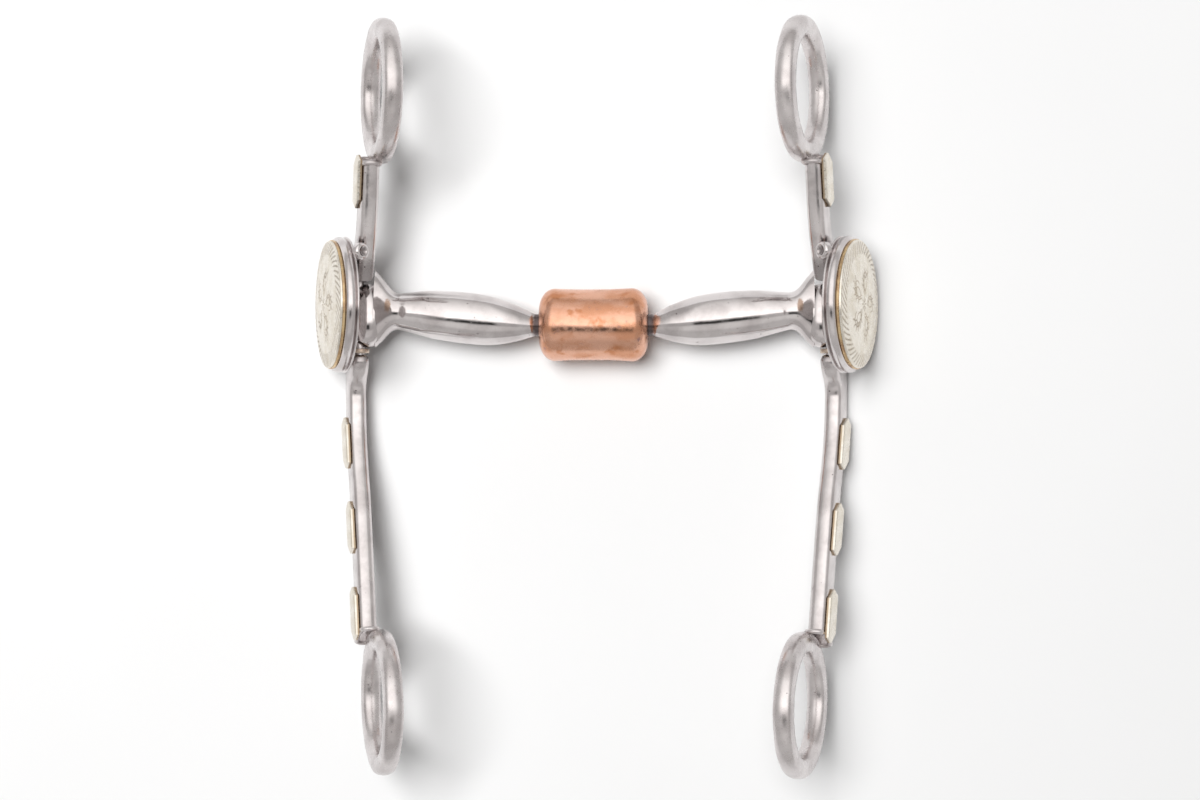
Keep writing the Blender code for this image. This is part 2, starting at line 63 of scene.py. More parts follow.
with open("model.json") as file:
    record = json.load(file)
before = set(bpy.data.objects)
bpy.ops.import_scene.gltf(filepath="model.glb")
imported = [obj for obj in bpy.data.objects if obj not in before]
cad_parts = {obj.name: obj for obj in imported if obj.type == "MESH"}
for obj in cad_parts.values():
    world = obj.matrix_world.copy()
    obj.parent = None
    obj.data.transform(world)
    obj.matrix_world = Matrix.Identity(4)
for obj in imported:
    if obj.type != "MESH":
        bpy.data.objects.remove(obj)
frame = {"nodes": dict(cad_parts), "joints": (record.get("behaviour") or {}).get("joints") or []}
CAD_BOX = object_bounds()
ANCHOR = {joint["name"]: Vector(joint["pos_m"]) for joint in frame["joints"]}
AXIS = {joint["name"]: Vector(joint["axis"]) for joint in frame["joints"]}


# --- Places and sizes, read from the frame ---

ALONG_Y = Matrix.Rotation(-math.pi / 2, 4, "X")  # turns a piece's own Z axis to Y


def box_in(matrix, node):
    """Lowest and highest corner of a CAD node, measured in another frame."""
    inverse = matrix.inverted()
    points = np.array([inverse @ vertex.co for vertex in frame["nodes"][node].data.vertices])
    return Vector(points.min(axis=0)), Vector(points.max(axis=0))


def frame_from(origin, along, up):
    """A frame with its Y axis along one direction and its Z axis turned toward another."""
    y = along.normalized()
    x = y.cross(up).normalized()
    matrix = Matrix((x, y, x.cross(y))).transposed().to_4x4()
    matrix.translation = origin
    return matrix


def cheek_matrix(side_name, side):
    """The frame of a cheek, on its swivel's axis and leaning in to its headstall ring."""
    pin = ANCHOR[f"{side_name}_cheek_swivel"]
    low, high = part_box(f"{side_name}_headstall_ring")
    return frame_from(pin, side * AXIS[f"{side_name}_cheek_swivel"], (low + high) / 2 - pin)


def at(matrix, x, y, z):
    """A frame moved along its own axes."""
    return matrix @ Matrix.Translation((x, y, z))


def seated(matrix, node):
    """The middle of a CAD node's lowest face in a frame, as a place, and the node's size."""
    low, high = box_in(matrix, node)
    return at(matrix, (low.x + high.x) / 2, (low.y + high.y) / 2, low.z), high - low


def outward(side, tilt=0.0):
    """Turns a piece's own Z axis to point out from the cheek, tipped up by an angle."""
    return Matrix.Rotation(side * (math.pi / 2 - tilt), 4, "Y")


# --- Mesh tools ---

PLATE_EDGE_STEPS = 5
WEAR_SHIFT = (3.1, 1.7, 2.3)  # moves each seed to a place of its own in the noise


def mesh_from(work, name):
    """Weld, orient and store a bmesh."""
    bmesh.ops.remove_doubles(work, verts=work.verts, dist=MERGE)
    bmesh.ops.recalc_face_normals(work, faces=work.faces)
    mesh = bpy.data.meshes.new(name)
    work.to_mesh(mesh)
    work.free()
    return mesh


def grid_of(rows, name, closed=False):
    """A mesh through rows of points, joined last to first or filled at both ends."""
    work = bmesh.new()
    lines = [[work.verts.new(point) for point in row] for row in rows]
    row_count = len(lines)
    column_count = len(lines[0])
    for i in range(row_count if closed else row_count - 1):
        near, far = lines[i], lines[(i + 1) % row_count]
        for j in range(column_count):
            k = (j + 1) % column_count
            work.faces.new((near[j], near[k], far[k], far[j]))
    if not closed:
        for line in (lines[0], lines[-1]):
            if (line[0].co - line[1].co).length > MERGE:
                work.faces.new(line)
    return mesh_from(work, name)


def turned(name, profile, steps, closed=False):
    """A (radius, height) profile turned about local Z."""
    angles = [2 * math.pi * step / steps for step in range(steps)]
    rows = [[(radius * math.cos(a), radius * math.sin(a), height) for a in angles]
            for radius, height in profile]
    return grid_of(rows, name, closed)


def cylinder(name, radius, low, high, steps=48):
    return turned(name, [(0, low), (radius, low), (radius, high), (0, high)], steps)


def arc(centre, radius, start, stop, steps):
    """Points on a round or oval arc, in degrees anticlockwise from the first axis."""
    across, along = (radius, radius) if isinstance(radius, float) else radius
    angles = [math.radians(start + (stop - start) * step / steps) for step in range(steps + 1)]
    return [(centre[0] + across * math.cos(a), centre[1] + along * math.sin(a)) for a in angles]


def subdivided(corners, parts):
    """Points along a closed polygon, with each side cut into equal parts."""
    points = []
    for (x0, y0), (x1, y1) in zip(corners, corners[1:] + corners[:1]):
        points += [(x0 + (x1 - x0) * k / parts, y0 + (y1 - y0) * k / parts) for k in range(parts)]
    return points


def evaluated(obj):
    """The mesh of an object with its modifiers applied; the object is dropped."""
    if obj.name not in bpy.context.scene.collection.objects:
        bpy.context.scene.collection.objects.link(obj)
    bpy.context.view_layer.update()
    mesh = bpy.data.meshes.new_from_object(
        obj.evaluated_get(bpy.context.evaluated_depsgraph_get()))
    bpy.data.objects.remove(obj, do_unlink=True)
    return mesh


def plate(name, outline, thickness, resolution, edge=0.0):
    """A flat plate in XY from an outline of (x, y, corner) points; the others are smooth."""
    curve = bpy.data.curves.new(name, "CURVE")
    curve.dimensions = "2D"
    curve.fill_mode = "BOTH"
    curve.extrude = thickness / 2 - edge
    curve.bevel_depth = edge
    curve.bevel_resolution = PLATE_EDGE_STEPS
    curve.offset = -edge
    curve.resolution_u = resolution
    spline = curve.splines.new("BEZIER")
    spline.bezier_points.add(len(outline) - 1)
    for point, (x, y, corner) in zip(spline.bezier_points, outline):
        handle = "VECTOR" if corner else "AUTO"
        point.handle_left_type = handle
        point.handle_right_type = handle
        point.co = (x, y, 0)
    spline.use_cyclic_u = True
    work = bmesh.new()
    work.from_mesh(evaluated(bpy.data.objects.new(name, curve)))
    return mesh_from(work, name)


def combined(mesh, *steps):
    """A mesh after Boolean steps of (operation, tool mesh, the tool's place)."""
    obj = bpy.data.objects.new(mesh.name, mesh)
    tools = []
    for operation, tool_mesh, matrix in steps:
        tool = bpy.data.objects.new("tool", tool_mesh)
        bpy.context.scene.collection.objects.link(tool)
        tool.matrix_world = matrix
        tools.append(tool)
        modifier = obj.modifiers.new(operation, "BOOLEAN")
        modifier.operation = operation
        modifier.solver = "MANIFOLD"
        modifier.object = tool
    result = evaluated(obj)
    for tool in tools:
        bpy.data.objects.remove(tool, do_unlink=True)
    return result


def worn(mesh, depth, size, seed):
    """Shallow hand-worked unevenness over a mesh, as forging and polishing leave it."""
    shift = Vector([seed * step for step in WEAR_SHIFT])
    normals = [vertex.normal.copy() for vertex in mesh.vertices]
    for vertex, normal in zip(mesh.vertices, normals):
        vertex.co -= normal * depth * (1 + noise.noise(vertex.co / size + shift)) / 2
    return mesh


# --- Nodes ---

ROUND = (1, 1, 1)  # the stretch of a pattern that isn't stretched


class Nodes:
    """A short way to write the nodes of a material or of the world."""

    def __init__(self, owner):
        owner.use_nodes = True
        self.owner = owner
        self.tree = owner.node_tree
        places = self.tree.nodes.new("ShaderNodeTexCoord").outputs
        self.position = places["Object"]  # on a piece
        self.direction = places["Generated"]  # in the world

    def add(self, kind, inputs=None, **settings):
        node = self.tree.nodes.new(kind)
        for key, value in settings.items():
            setattr(node, key, value)
        for key, value in (inputs or {}).items():
            self.feed(value, node.inputs[key])
        return node

    def feed(self, value, socket):
        if isinstance(value, bpy.types.NodeSocket):
            self.tree.links.new(value, socket)
        else:
            socket.default_value = value

    def math(self, operation, a, b=0.0, c=0.0):
        return self.add("ShaderNodeMath", {0: a, 1: b, 2: c}, operation=operation).outputs[0]

    def vector(self, operation, a, b=(0, 0, 0)):
        return self.add("ShaderNodeVectorMath", {0: a, 1: b}, operation=operation).outputs

    def axes(self, value):
        return self.add("ShaderNodeSeparateXYZ", {0: value}).outputs

    def noise(self, size, detail=3.0, stretch=ROUND):
        """Noise with features of about that size, in metres, from 0 to 1."""
        mapped = self.add("ShaderNodeMapping", {"Vector": self.position, "Scale": stretch})
        inputs = {"Vector": mapped.outputs[0], "Scale": 1 / size, "Detail": detail}
        return self.add("ShaderNodeTexNoise", inputs).outputs["Fac"]

    def between(self, value, low, high, start=0.0, stop=1.0):
        """A value smoothly taken from low..high to start..stop."""
        inputs = {"Value": value, "From Min": low, "From Max": high, "To Min": start,
                  "To Max": stop}
        return self.add("ShaderNodeMapRange", inputs, interpolation_type="SMOOTHSTEP").outputs[0]

    def patches(self, size, detail, low, high, start=0.0, stop=1.0, stretch=ROUND):
        """Patches of about that size, where noise is smoothly taken from low..high."""
        return self.between(self.noise(size, detail, stretch), low, high, start, stop)

    def mix(self, share, first, second):
        """From the first colour to the second one."""
        node = self.add("ShaderNodeMix", {"Factor": share}, data_type="RGBA")
        for key, value in (("A", first), ("B", second)):
            is_socket = isinstance(value, bpy.types.NodeSocket)
            self.feed(value if is_socket else (*value, 1.0), node.inputs[key])
        return node.outputs["Result"]

    def instead(self, where, old, new):
        """The new value as far as the share goes, and the old one for the rest."""
        kept = self.math("MULTIPLY", old, self.math("SUBTRACT", 1.0, where))
        return self.math("ADD", kept, self.math("MULTIPLY", where, new))

    def spot(self, centre, radius, soft, stretch=ROUND):
        """1 within an oval spot round a point of the piece, fading out with a ragged edge."""
        away = self.vector("SUBTRACT", self.position, centre)["Vector"]
        length = self.vector("LENGTH", self.vector("MULTIPLY", away, stretch)["Vector"])["Value"]
        ragged = self.math("MULTIPLY_ADD", self.noise(radius * 0.5), radius * 0.8, -radius * 0.4)
        edge = self.math("ADD", length, ragged)
        return self.between(edge, radius * (1 - soft), radius * (1 + soft), 1.0, 0.0)

    def bump(self, height, distance, below=None):
        inputs = {"Height": height, "Distance": distance, "Strength": 1.0}
        if below is not None:
            inputs["Normal"] = below
        return self.add("ShaderNodeBump", inputs).outputs[0]

    def finish(self, colour, roughness, normal, metallic=1.0):
        """Feeds the material's own shader."""
        inputs = self.tree.nodes["Principled BSDF"].inputs
        self.feed(colour, inputs["Base Color"])
        self.feed(roughness, inputs["Roughness"])
        self.feed(normal, inputs["Normal"])
        self.feed(metallic, inputs["Metallic"])
        return self.owner


# --- Materials ---

STEEL_LIGHT = (0.70, 0.66, 0.655)
STEEL_DARK = (0.54, 0.50, 0.495)
HEAT_TINT = (0.36, 0.24, 0.17)
# Dark of oxide in the pits, also used as painted shade and painted dark reflection in the steel's
# dark spots.
OXIDE_AND_SHADE = (0.10, 0.075, 0.075)
SPOT_EDGE = 0.35  # how softly each spot, of heat tint and of painted shade alike, fades out, as a share of its size

SILVER = (0.81, 0.765, 0.69)
SILVER_SHADE = (0.70, 0.64, 0.54)
ENGRAVED = (0.30, 0.21, 0.12)
TAN = (0.42, 0.32, 0.22)
TAN_EDGE = (0.05 * MM, 0.35 * MM)  # heights between which an overlay goes from tan to silver

BRASS = ((0.74, 0.55, 0.31), (0.48, 0.31, 0.18))  # bright and tarnished
BRONZE = ((0.60, 0.50, 0.41), (0.36, 0.26, 0.20))

COPPER_PINK = (0.76, 0.43, 0.305)
COPPER_BROWN = (0.64, 0.31, 0.185)
COPPER_DARK = (0.54, 0.225, 0.11)
COPPER_PURPLE = (0.30, 0.18, 0.20)
COPPER_BARE = (0.95, 0.66, 0.48)  # in a scratch
SCRATCH_PLACE = (2 * MM, 1.0)  # along the roller, and radians round it
SCRATCH_SLANT = 12 * MM  # how far along the roller the scratch runs in a radian
SCRATCH_EDGE = (0.05 * MM, 0.30 * MM)
SCRATCH_END = (0.28, 0.40)  # radians from its middle over which it fades out


def polished_steel(name, gloss, tints=(), dark_spots=()):
    """Polished steel: faint cloudiness, fine scratches and pits, with weld heat in places and dark
    spots painted into the colour, mostly painted shade and painted dark reflections.
    """
    n = Nodes(bpy.data.materials.new(name))
    colour = n.mix(n.patches(7 * MM, 4, 0.35, 0.7), STEEL_LIGHT, STEEL_DARK)
    pits = n.patches(1.1 * MM, 2, 0.70, 0.78)
    colour = n.mix(pits, colour, OXIDE_AND_SHADE)
    haze = n.patches(2.4 * MM, 5, 0.3, 0.75, gloss, gloss + 0.10)
    roughness = n.math("ADD", haze, n.math("MULTIPLY", pits, 0.25))
    # The dark spots paint shade and dark reflections into the colour, as noted where each is
    # given.
    for tint, spots in ((HEAT_TINT, tints), (OXIDE_AND_SHADE, dark_spots)):
        for centre, radius, strength, stretch in spots:
            share = n.math("MULTIPLY", n.spot(centre, radius, SPOT_EDGE, stretch), strength)
            colour = n.mix(share, colour, tint)
            roughness = n.math("ADD", roughness, n.math("MULTIPLY", share, 0.15))
    waves = n.bump(n.noise(5 * MM, 2), 0.05 * MM)
    scratches = n.bump(n.noise(0.5 * MM, 2, (1, 0.12, 1)), 0.004 * MM, waves)
    return n.finish(colour, roughness, n.bump(pits, -0.02 * MM, scratches))


def arm_steel(side_name, side):
    """An arm's mirror polish, tinted where the flare was welded and painted darker at the neck
    where it goes into the roller.
    """
    tint = ((57.6 * MM, side * 5.3 * MM, 4.6 * MM), 0.9 * MM, 0.85, (1, 0.5, 0.5))
    # Darker colour painted round the neck where it goes into the roller.
    neck_dark = ((15.2 * MM, 0, 0), 1.9 * MM, 0.95, (1, 0.1, 0.1))
    return polished_steel(f"{side_name}_arm_steel", 0.07, tints=[tint], dark_spots=[neck_dark])


def german_silver(name, worn_edge=None):
    """Warm white alloy, with tarnish in whatever the mesh marks as engraved."""
    n = Nodes(bpy.data.materials.new(name))
    colour = n.mix(n.patches(4 * MM, 4, 0.35, 0.75), SILVER, SILVER_SHADE)
    marks = n.add("ShaderNodeAttribute", attribute_name="engraved").outputs["Fac"]
    colour = n.mix(n.math("MULTIPLY", marks, 0.8), colour, ENGRAVED)
    if worn_edge:
        low, high = worn_edge
        colour = n.mix(n.between(n.axes(n.position)["Z"], low, high, 1.0, 0.0), colour, TAN)
    roughness = n.patches(0.9 * MM, 4, 0.3, 0.7, 0.24, 0.40)
    grain = n.bump(n.noise(0.25 * MM, 3), 0.006 * MM)
    return n.finish(colour, roughness, n.bump(n.noise(2.5 * MM, 2), 0.03 * MM, grain))


def brass(name, bright, tarnished):
    """Worn brass with brown tarnish."""
    n = Nodes(bpy.data.materials.new(name))
    colour = n.mix(n.patches(5 * MM, 4, 0.4, 0.65), bright, tarnished)
    roughness = n.patches(1.2 * MM, 3, 0.3, 0.7, 0.22, 0.42)
    return n.finish(colour, roughness, n.bump(n.noise(1.5 * MM, 3), 0.02 * MM))


def scratch_on(n):
    """1 on the long scratch that slants across the roller."""
    place, turn = SCRATCH_PLACE
    axes = n.axes(n.position)
    around = n.math("ARCTAN2", axes["Y"], axes["X"])
    slanted = n.math("MULTIPLY_ADD", around, SCRATCH_SLANT, axes["Z"])
    beside = n.math("ABSOLUTE", n.math("SUBTRACT", slanted, place))
    beyond = n.math("ABSOLUTE", n.math("SUBTRACT", around, turn))
    return n.math("MULTIPLY", n.between(beside, *SCRATCH_EDGE, 1.0, 0.0),
                  n.between(beyond, *SCRATCH_END, 1.0, 0.0))


def copper(name):
    """Copper that has been in use: pink and brown clouds, purple spots and a long scratch."""
    n = Nodes(bpy.data.materials.new(name))
    clouds = n.patches(6 * MM, 5, 0.40, 0.60, stretch=(1, 1, 0.6))
    colour = n.mix(clouds, COPPER_PINK, COPPER_BROWN)
    colour = n.mix(n.patches(4 * MM, 3, 0.56, 0.72, 0, 0.9), colour, COPPER_DARK)
    colour = n.mix(n.patches(3 * MM, 3, 0.64, 0.76, 0, 0.7), colour, COPPER_PURPLE)
    scratch = scratch_on(n)
    colour = n.mix(scratch, colour, COPPER_BARE)
    roughness = n.patches(1.5 * MM, 5, 0.3, 0.7, 0.16, 0.30)
    lathe = n.bump(n.noise(0.6 * MM, 3, (0.1, 0.1, 1)), 0.003 * MM)
    waves = n.bump(n.noise(5 * MM, 1), 0.05 * MM, lathe)
    return n.finish(colour, roughness, n.bump(scratch, -0.05 * MM, waves))


# Spots of colour are (place on the piece, radius, strength, stretch): heat tint on the welds, and
# painted shade and a painted dark reflection on the bar and the stud.
# Painted shade and dark reflection on the purchase bar's lower end, above the knuckle.
PURCHASE_END_SHADE = ((9 * MM, 10 * MM, 0), 4.5 * MM, 0.5, ROUND)
# Painted dark reflection on the lug's rounded top.
LUG_TOP_REFLECTION = ((0, -13.5 * MM, 0), 3 * MM, 0.5, ROUND)
WELD_TINT = ((0, 0, 0), 6 * MM, 0.25, ROUND)
# Painted shade in the stud's dished end.
STUD_DISH_SHADE = ((0, 0, 1.8 * MM), 1.3 * MM, 0.7, ROUND)
MATERIALS = {
    "ring steel": polished_steel("ring_steel", 0.24),
    "bar steel": polished_steel("bar_steel", 0.18, dark_spots=[PURCHASE_END_SHADE, LUG_TOP_REFLECTION]),
    "cup steel": polished_steel("cup_steel", 0.15),
    "weld steel": polished_steel("weld_steel", 0.28, tints=[WELD_TINT]),
    "stud steel": polished_steel("stud_steel", 0.12, dark_spots=[STUD_DISH_SHADE]),
    "left arm steel": arm_steel("left", -1),
    "right arm steel": arm_steel("right", 1),
    "engraved silver": german_silver("engraved_silver"),
    "overlay silver": german_silver("overlay_silver", TAN_EDGE),
    "brass": brass("brass", *BRASS),
    "bronze": brass("bronze", *BRONZE),
    "copper": copper("copper"),
}


# --- Pieces ---

def piece(name, mesh, material, body, matrix, replaces=(), crease=38):
    """A finished piece, smooth up to a crease angle, that rides on a CAD body."""
    mesh.name = name
    mesh.materials.clear()
    mesh.materials.append(MATERIALS[material])
    mesh.shade_smooth()
    mesh.set_sharp_from_angle(angle=math.radians(crease))
    obj = bpy.data.objects.new(name, mesh)
    bpy.context.scene.collection.objects.link(obj)
    obj.matrix_world = matrix
    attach(obj, body)
    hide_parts(*replaces)
    return obj


def cheek_piece(node, finish, mesh, material, matrix, crease=38):
    """A finished piece in place of a node of a cheek."""
    side_name = node.split("_")[0]
    piece(f"{node}_{finish}", mesh, material, f"{side_name}_cheek", matrix, (node,), crease)


# --- Rings ---

RING_HOLE = 13.9 / 19.9  # bore of a ring as a share of its outer size
RING_CROWN = 1.6 * MM  # how far a ring's rim bulges out, and its bore in
RING_CORNER = 0.3 * MM
RING_WEAR = (0.16 * MM, 5 * MM)  # depth and size of the hammered unevenness
RING_STEPS = 160
CROWN_STEPS = 18


def crowned(middle, bulge, half):
    """Points down a crowned face, from +half to -half, that bulges outward by that much."""
    points = []
    for step in range(CROWN_STEPS + 1):
        angle = math.pi * step / CROWN_STEPS
        points.append((middle + bulge * math.sin(angle), half * math.cos(angle)))
    return points


def ring_section(inner, outer, thick):
    """Section of a ring: flat sides, with a full crown round the rim and inside the bore."""
    half = thick / 2
    shoulder = half - RING_CORNER * 0.4
    rim = outer - RING_CROWN
    bore = inner + RING_CROWN
    section = [(rim - RING_CORNER, half)] + crowned(rim, RING_CROWN, shoulder)
    section += [(rim - RING_CORNER, -half), (bore + RING_CORNER, -half)]
    section += [(2 * bore - x, -y) for x, y in crowned(bore, RING_CROWN, shoulder)]
    return section + [(bore + RING_CORNER, half)]


def ring(side_name, side, cheek, tag):
    """A forged ring; returns its centre in the cheek's frame and its outer radius."""
    node = f"{side_name}_{tag}_ring"
    place, size = seated(cheek @ outward(side), node)
    outer = size.y / 2
    section = ring_section(outer * RING_HOLE, outer, size.z)
    mesh = worn(turned(node, section, RING_STEPS, closed=True), *RING_WEAR,
                SEED + side + len(tag))
    cheek_piece(node, "forged", mesh, "ring steel", place, crease=40)
    low, high = box_in(cheek, node)
    return (low + high) / 2, outer


# --- Cheek bars ---

# Edges of a cheek bar in mm, as (rise, along) points from the swivel's axis.
PURCHASE_FRONT = ((19.9, 44.0), (18.6, 35.8), (16.4, 24.8), (12.6, 15.0))
SHANK_FRONT = ((-1.9, -22.0), (-1.8, -28.0), (-1.1, -34.0), (1.6, -43.0), (5.4, -52.4),
               (9.4, -66.1), (13.9, -83.2), (17.0, -95.0))
SHANK_BACK = ((7.4, -95.0), (4.7, -83.2), (0.1, -66.1), (-3.8, -52.4), (-7.4, -43.0),
              (-9.9, -34.0), (-10.6, -27.0), (-10.7, -18.0), (-10.5, -4.0))
PURCHASE_BACK = ((-9.0, 6.5), (-4.2, 12.0), (2.2, 17.0), (6.3, 22.0), (9.4, 33.0), (11.4, 44.0))
BAR_EDGE = 1.9 * MM  # radius of the bar's rounded edges
BAR_CURVE_STEPS = 10
# The notch in the bar that the hinge's knuckle sits in, and the lug below it.
WINDOW_TOP = 7.9 * MM
WINDOW_FRONT = 8.9 * MM
WINDOW_BACK = -6.4 * MM
WINDOW_NIP = 1.2 * MM  # the cut across its back corners
LUG_TOP = -12.3 * MM
LUG_FRONT = 1.5 * MM
LUG_NOSE = 2.7 * MM
LUG_RUN = 5 * MM  # length of the nose along the cheek
CHEEK_BORE = (-16.5 * MM, 11.9 * MM)  # the pin's hole, from the lug to the purchase
RING_FIT = 0.05 * MM  # clearance between a bar's end and its ring
FLAT = Matrix.Rotation(math.radians(-90), 4, "Y")  # a plate's (x, y) becomes (rise, along)


def cheek_outline():
    """Down the upper edge, round the hinge's notch, and up the lower edge."""
    ends = (PURCHASE_FRONT[0][1], SHANK_FRONT[-1][1])

    def run(points):
        return [(rise * MM, along * MM, along in ends) for rise, along in points]

    notch = [(WINDOW_FRONT, WINDOW_TOP, True),
             (WINDOW_BACK + WINDOW_NIP, WINDOW_TOP, True),
             (WINDOW_BACK, WINDOW_TOP - WINDOW_NIP, True),
             (WINDOW_BACK, LUG_TOP + WINDOW_NIP, True),
             (WINDOW_BACK + WINDOW_NIP, LUG_TOP, True),
             (LUG_FRONT, LUG_TOP, True),
             (LUG_NOSE, LUG_TOP - WINDOW_NIP, False),
             (LUG_FRONT, LUG_TOP - LUG_RUN, False)]
    return run(PURCHASE_FRONT) + notch + run(SHANK_FRONT) + run(SHANK_BACK) + run(PURCHASE_BACK)


def cheek_bar(side_name, side, cheek, rings):
    """The bar, hollowed at its ends to take the rings and bored for the swivel's pin."""
    node = f"{side_name}_cheek_bar"
    low, high = box_in(cheek, node)
    thick = high.x - low.x
    into_plate = FLAT.inverted()
    steps = []
    for centre, outer in rings:
        seat = cylinder("seat", outer + RING_FIT, -thick, thick, RING_STEPS)
        place = into_plate @ Matrix.Translation(centre) @ outward(side)
        steps.append(("DIFFERENCE", seat, place))
    bore = cylinder("bore", PIN_BORE, *CHEEK_BORE)
    steps.append(("DIFFERENCE", bore, into_plate @ ALONG_Y))
    bar = combined(plate(node, cheek_outline(), thick, BAR_CURVE_STEPS, BAR_EDGE), *steps)
    cheek_piece(node, "forged", bar, "bar steel", cheek @ FLAT, crease=30)


# --- Welds between the rings and the bars ---

# Where each ring meets its bar, in degrees round the ring from along the cheek.
RING_WELDS = (("headstall", -169), ("rein", -25))
WELD_SPREAD = 32  # degrees of the ring that a weld covers
WELD_RADIUS = 0.65 * MM
WELD_UNEVEN = (0.7, 1.2)  # the bead's thinnest and thickest places, as shares of that
WELD_HALF = 2.0 * MM  # from the bar's middle to the bead on either face
WELD_PROUD = 0.1 * MM  # from the ring's rim to the middle of the bead
WELD_STEPS = 14


def weld_bead(name, path, body, matrix, seed):
    """An uneven bead of weld along a closed path."""
    rng = np.random.default_rng(seed)
    curve = bpy.data.curves.new(name, "CURVE")
    curve.dimensions = "3D"
    curve.bevel_depth = WELD_RADIUS
    curve.bevel_resolution = 3
    curve.resolution_u = 4
    spline = curve.splines.new("BEZIER")
    spline.bezier_points.add(len(path) - 1)
    for point, place in zip(spline.bezier_points, path):
        point.co = place
        point.handle_left_type = "AUTO"
        point.handle_right_type = "AUTO"
        point.radius = rng.uniform(*WELD_UNEVEN)
    spline.use_cyclic_u = True
    mesh = evaluated(bpy.data.objects.new(name, curve))
    piece(name, mesh, "weld steel", body, matrix)


def ring_weld(side_name, tag, cheek, centre, outer, toward, seed):
    """The weld that joins a ring to the end of its bar, round the bar's section."""
    radius = outer + WELD_PROUD
    edge = [math.radians(toward + WELD_SPREAD * (step / WELD_STEPS - 0.5))
            for step in range(WELD_STEPS + 1)]
    path = [(x, radius * math.cos(a), radius * math.sin(a))
            for x, angles in ((WELD_HALF, edge), (-WELD_HALF, edge[::-1])) for a in angles]
    weld_bead(f"{side_name}_{tag}_weld", path, f"{side_name}_cheek", at(cheek, *centre), seed)


# --- Overlays ---

OVERLAYS = ("purchase_overlay", "shank_overlay_1", "shank_overlay_2", "shank_overlay_3")
OVERLAY_POINT = 1.9 * MM  # length of each pointed end
# The pillowed top, as (mm in from the outline, share of the height).
OVERLAY_LEVELS = ((0.0, 0.0), (0.0, 0.42), (0.06, 0.60), (0.2, 0.75), (0.5, 0.85), (1.0, 0.92),
                  (1.8, 0.97), (2.8, 1.0))
OVERLAY_PARTS = 8
POINT_INSET = 1.2  # the points draw in this much faster than the sides
SLOPE_REACH = 4 * MM


def bar_slope(along):
    """Slope of the cheek bar's middle line at a place along it."""
    front = PURCHASE_FRONT if along > 0 else SHANK_FRONT
    back = PURCHASE_BACK if along > 0 else SHANK_BACK

    def rise(edge, where):
        points = sorted((a * MM, r * MM) for r, a in edge)
        return np.interp(where, [p[0] for p in points], [p[1] for p in points])

    low, high = ((rise(front, w) + rise(back, w)) / 2
                 for w in (along - SLOPE_REACH, along + SLOPE_REACH))
    return (high - low) / (2 * SLOPE_REACH)


def overlay(side_name, side, cheek, node):
    """A thin plate with pointed ends, pillowed over the bar that it is soldered to."""
    low, high = box_in(cheek, node)
    slope = bar_slope((low.y + high.y) / 2)
    matrix, size = seated(cheek @ outward(side), node)
    half = size.y / 2
    wide = size.x / 2 - abs(slope) * (half - OVERLAY_POINT)
    rows = []
    for inset_mm, level in OVERLAY_LEVELS:
        inset = inset_mm * MM
        w = wide - inset
        h = half - inset * POINT_INSET
        shoulder = h - OVERLAY_POINT * w / wide
        corners = [(0, h), (w, shoulder), (w, -shoulder), (0, -h), (-w, -shoulder), (-w, shoulder)]
        rows.append([(x - side * slope * y, y, size.z * level if level else -SEAT)
                     for x, y in subdivided(corners, OVERLAY_PARTS)])
    cheek_piece(node, "plate", grid_of(rows, node), "overlay silver", matrix,
                crease=30)


# --- Concho cup and edge ---

CONCHO_TILT = math.radians(2.5)  # how much further than its cheek a concho leans
CONCHO_STEPS = 180
CUP_RIM = 1.5 * MM  # width of the crown round the cup
CUP_CROWN = 0.44  # height of that crown, as a share of the cup's
CUP_LIP = 0.55 * MM
CUP_STEP = 0.1 * MM  # from the crown out to the lip's edge
CUP_FOOT = 3 * MM  # from the rim in to a ring of points on the flat underside
EDGE_WIDTH = 2.0 * MM
EDGE_CORNER = 0.3  # as a share of the edge's height


def cup_section(depth, radius):
    """The concho's cup: a flat back, a thin flared lip and a full crowned rim."""
    face = radius - CUP_RIM - CUP_STEP
    crown = depth * CUP_CROWN
    section = [(0, depth), (face * 0.7, depth), (face, depth)]
    section += arc((face, depth - crown), (CUP_RIM, crown), 84, -60, 24)
    section += arc((radius - CUP_LIP / 2, CUP_LIP / 2), CUP_LIP / 2, 100, -90, 8)
    return section + [(radius - CUP_FOOT, 0), (0, 0)]


def edge_section(depth, radius):
    """A rounded hoop of brass between the cup and the face."""
    inner = radius - EDGE_WIDTH
    corner = depth * EDGE_CORNER
    upper = arc((radius - corner, depth - corner), corner, 90, 0, 4)
    lower = arc((radius - corner, corner - SEAT), corner, 0, -90, 4)
    return [(inner, depth)] + upper + lower + [(inner, -SEAT)]


def concho_part(side_name, side, cheek, tag, section, material):
    """The cup or the edge of a concho, turned from its section."""
    node = f"{side_name}_concho_{tag}"
    matrix, size = seated(cheek @ outward(side, CONCHO_TILT), node)
    mesh = turned(node, section(size.z, size.y / 2), CONCHO_STEPS, closed=tag == "edge")
    cheek_piece(node, "turned", mesh, material, matrix, crease=50)


# --- Concho face ---

